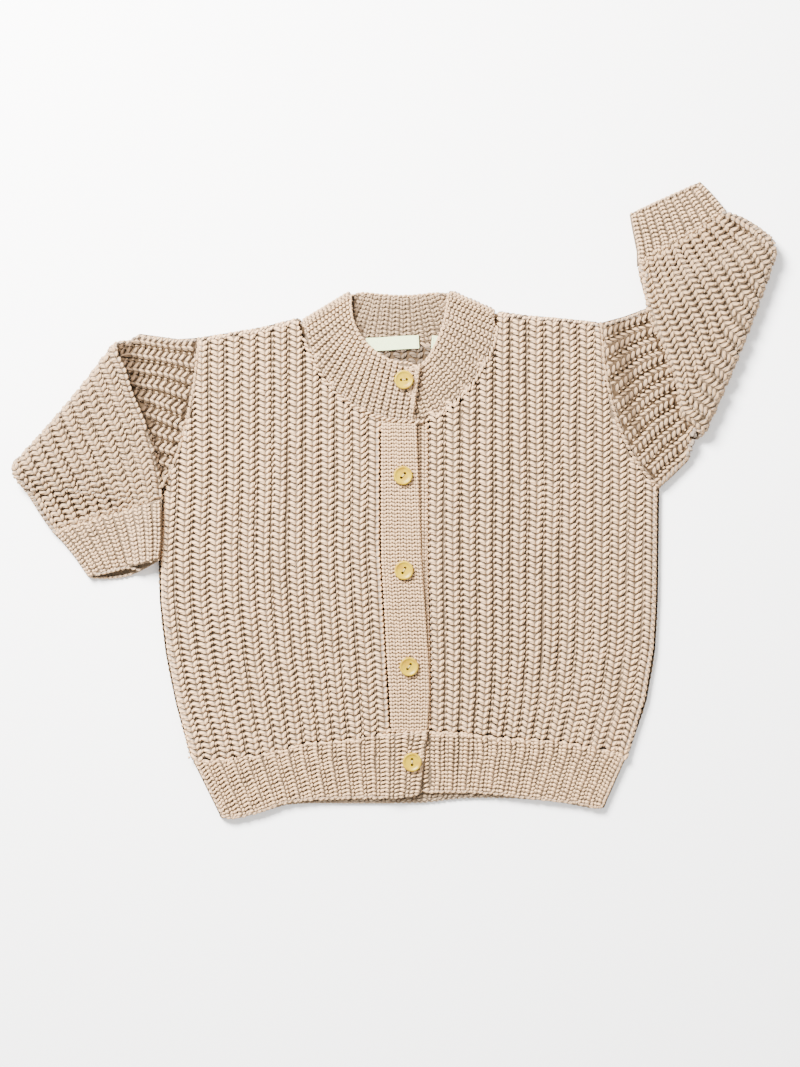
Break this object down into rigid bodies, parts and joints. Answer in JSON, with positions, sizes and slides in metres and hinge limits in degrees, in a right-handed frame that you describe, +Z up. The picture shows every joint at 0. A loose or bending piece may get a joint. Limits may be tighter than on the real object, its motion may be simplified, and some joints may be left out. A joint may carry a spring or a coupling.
{
  "type": "baby cardigan",
  "caption": "Chunky ribbed baby cardigan, buttoned up and laid flat, with both sleeves folded over and wooden buttons down the front.",
  "frame": {"origin": "bottom centre of the laid-out cardigan's box, on the surface it lies on", "axes": "+X towards the wearer's left side, +Y towards the neck, +Z up from the surface"},
  "size_m": [0.5091, 0.4254, 0.0153],
  "materials": {
    "chunky_knit": "matte with a soft cotton sheen",
    "fine_rib": "matte with a soft cotton sheen",
    "light_wood": "satin",
    "label_cotton": "matte"
  },
  "bodies": {
    "root": {"back": "chunky_knit", "back_hem": "fine_rib", "right_front": "chunky_knit", "left_front": "chunky_knit", "right_front_hem": "fine_rib", "left_front_hem": "fine_rib", "right_band": "fine_rib", "left_band": "fine_rib", "collar": "fine_rib", "right_sleeve": "chunky_knit", "left_sleeve": "chunky_knit", "right_cuff": "fine_rib", "left_cuff": "fine_rib", "button_1": "light_wood", "button_2": "light_wood", "button_3": "light_wood", "button_4": "light_wood", "button_5": "light_wood", "neck_label": "label_cotton", "size_label": "label_cotton"}
  },
  "joints": []
}
